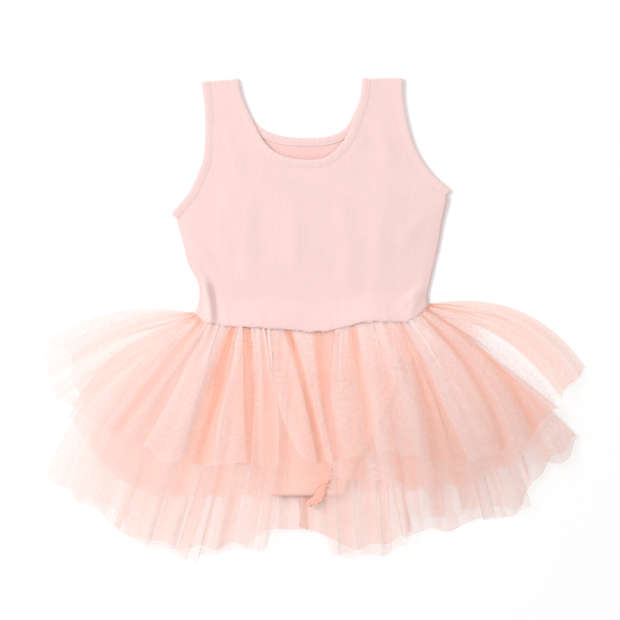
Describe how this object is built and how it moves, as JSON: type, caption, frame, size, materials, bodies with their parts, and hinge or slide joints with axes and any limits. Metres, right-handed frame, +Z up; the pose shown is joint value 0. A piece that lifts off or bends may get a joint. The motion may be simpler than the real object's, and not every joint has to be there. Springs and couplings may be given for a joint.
{
  "type": "ballet dress lying flat",
  "caption": "Sleeveless toddler ballet dress laid flat: jersey bodice and brief with bound neck and armholes, gathered tulle skirt in graded tiers.",
  "frame": {"origin": "on the table under the middle of the dress's outline as it lies", "axes": "+X across the dress, +Y from the hem to the neck, +Z up from the table"},
  "size_m": [0.5426, 0.4853, 0.0304],
  "materials": {
    "jersey": "pale pink cotton jersey, matt, fine knit ribs",
    "binding": "the same jersey folded over the edge and stitched",
    "tulle": "sheer soft tulle net, peach pink, slight sheen",
    "brief": "peach cotton jersey, matt"
  },
  "bodies": {
    "root": {"bodice_front": "jersey", "bodice_back": "jersey", "neck_binding": "binding", "armhole_binding_left": "binding", "armhole_binding_right": "binding", "skirt_outer_front": "tulle", "skirt_outer_back": "tulle", "skirt_middle_front": "tulle", "skirt_middle_back": "tulle", "skirt_inner_front": "tulle", "skirt_inner_back": "tulle", "brief_front": "brief", "brief_back": "brief"}
  },
  "joints": []
}
